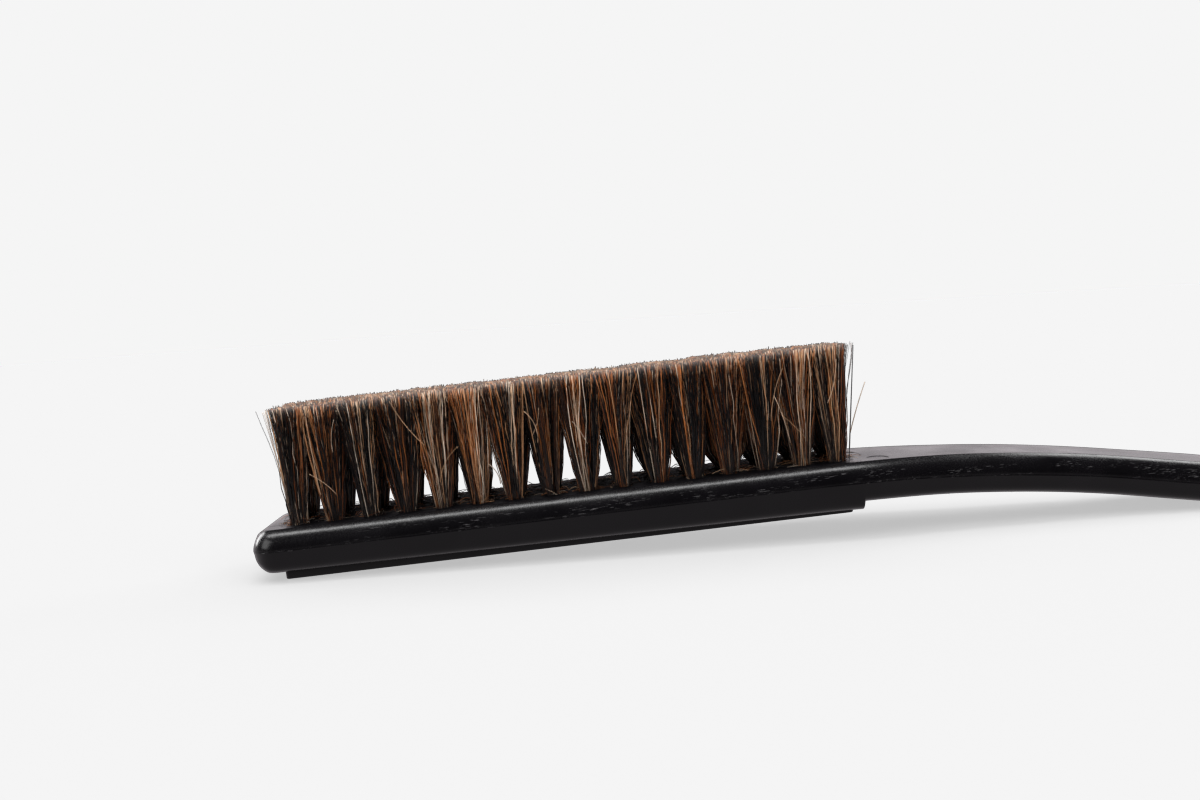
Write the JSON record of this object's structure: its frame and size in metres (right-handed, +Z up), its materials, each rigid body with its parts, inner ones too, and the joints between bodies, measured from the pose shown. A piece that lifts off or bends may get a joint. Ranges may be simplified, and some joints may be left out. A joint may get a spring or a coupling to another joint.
{
  "type": "bee brush",
  "caption": "Long hand brush with a curved black plastic handle and three rows of natural bristle tufts, for sweeping bees off combs.",
  "frame": {"origin": "middle of the label pad's face on the back of the bristle block, which the brush lies on", "axes": "+X along the block from the tip to the handle, +Y across the block, +Z up through the bristles"},
  "size_m": [0.3544, 0.04, 0.0719],
  "materials": {
    "black_plastic": "satin, lightly scuffed",
    "strip_plastic": "satin",
    "anchor_wire": "flat drawn wire",
    "bristle": "mixed black, brown and blond natural hair"
  },
  "bodies": {
    "root": {"handle_body": "black_plastic", "back_strip": "strip_plastic", "label_pad": "black_plastic", "anchors_front": "anchor_wire", "anchors_middle": "anchor_wire", "anchors_back": "anchor_wire", "tuft_front_01": "bristle", "tuft_front_02": "bristle", "tuft_front_03": "bristle", "tuft_front_04": "bristle", "tuft_front_05": "bristle", "tuft_front_06": "bristle", "tuft_front_07": "bristle", "tuft_front_08": "bristle", "tuft_front_09": "bristle", "tuft_front_10": "bristle", "tuft_front_11": "bristle", "tuft_front_12": "bristle", "tuft_front_13": "bristle", "tuft_front_14": "bristle", "tuft_front_15": "bristle", "tuft_front_16": "bristle", "tuft_middle_01": "bristle", "tuft_middle_02": "bristle", "tuft_middle_03": "bristle", "tuft_middle_04": "bristle", "tuft_middle_05": "bristle", "tuft_middle_06": "bristle", "tuft_middle_07": "bristle", "tuft_middle_08": "bristle", "tuft_middle_09": "bristle", "tuft_middle_10": "bristle", "tuft_middle_11": "bristle", "tuft_middle_12": "bristle", "tuft_middle_13": "bristle", "tuft_middle_14": "bristle", "tuft_middle_15": "bristle", "tuft_middle_16": "bristle", "tuft_back_01": "bristle", "tuft_back_02": "bristle", "tuft_back_03": "bristle", "tuft_back_04": "bristle", "tuft_back_05": "bristle", "tuft_back_06": "bristle", "tuft_back_07": "bristle", "tuft_back_08": "bristle", "tuft_back_09": "bristle", "tuft_back_10": "bristle", "tuft_back_11": "bristle", "tuft_back_12": "bristle", "tuft_back_13": "bristle", "tuft_back_14": "bristle", "tuft_back_15": "bristle", "tuft_back_16": "bristle"}
  },
  "joints": []
}
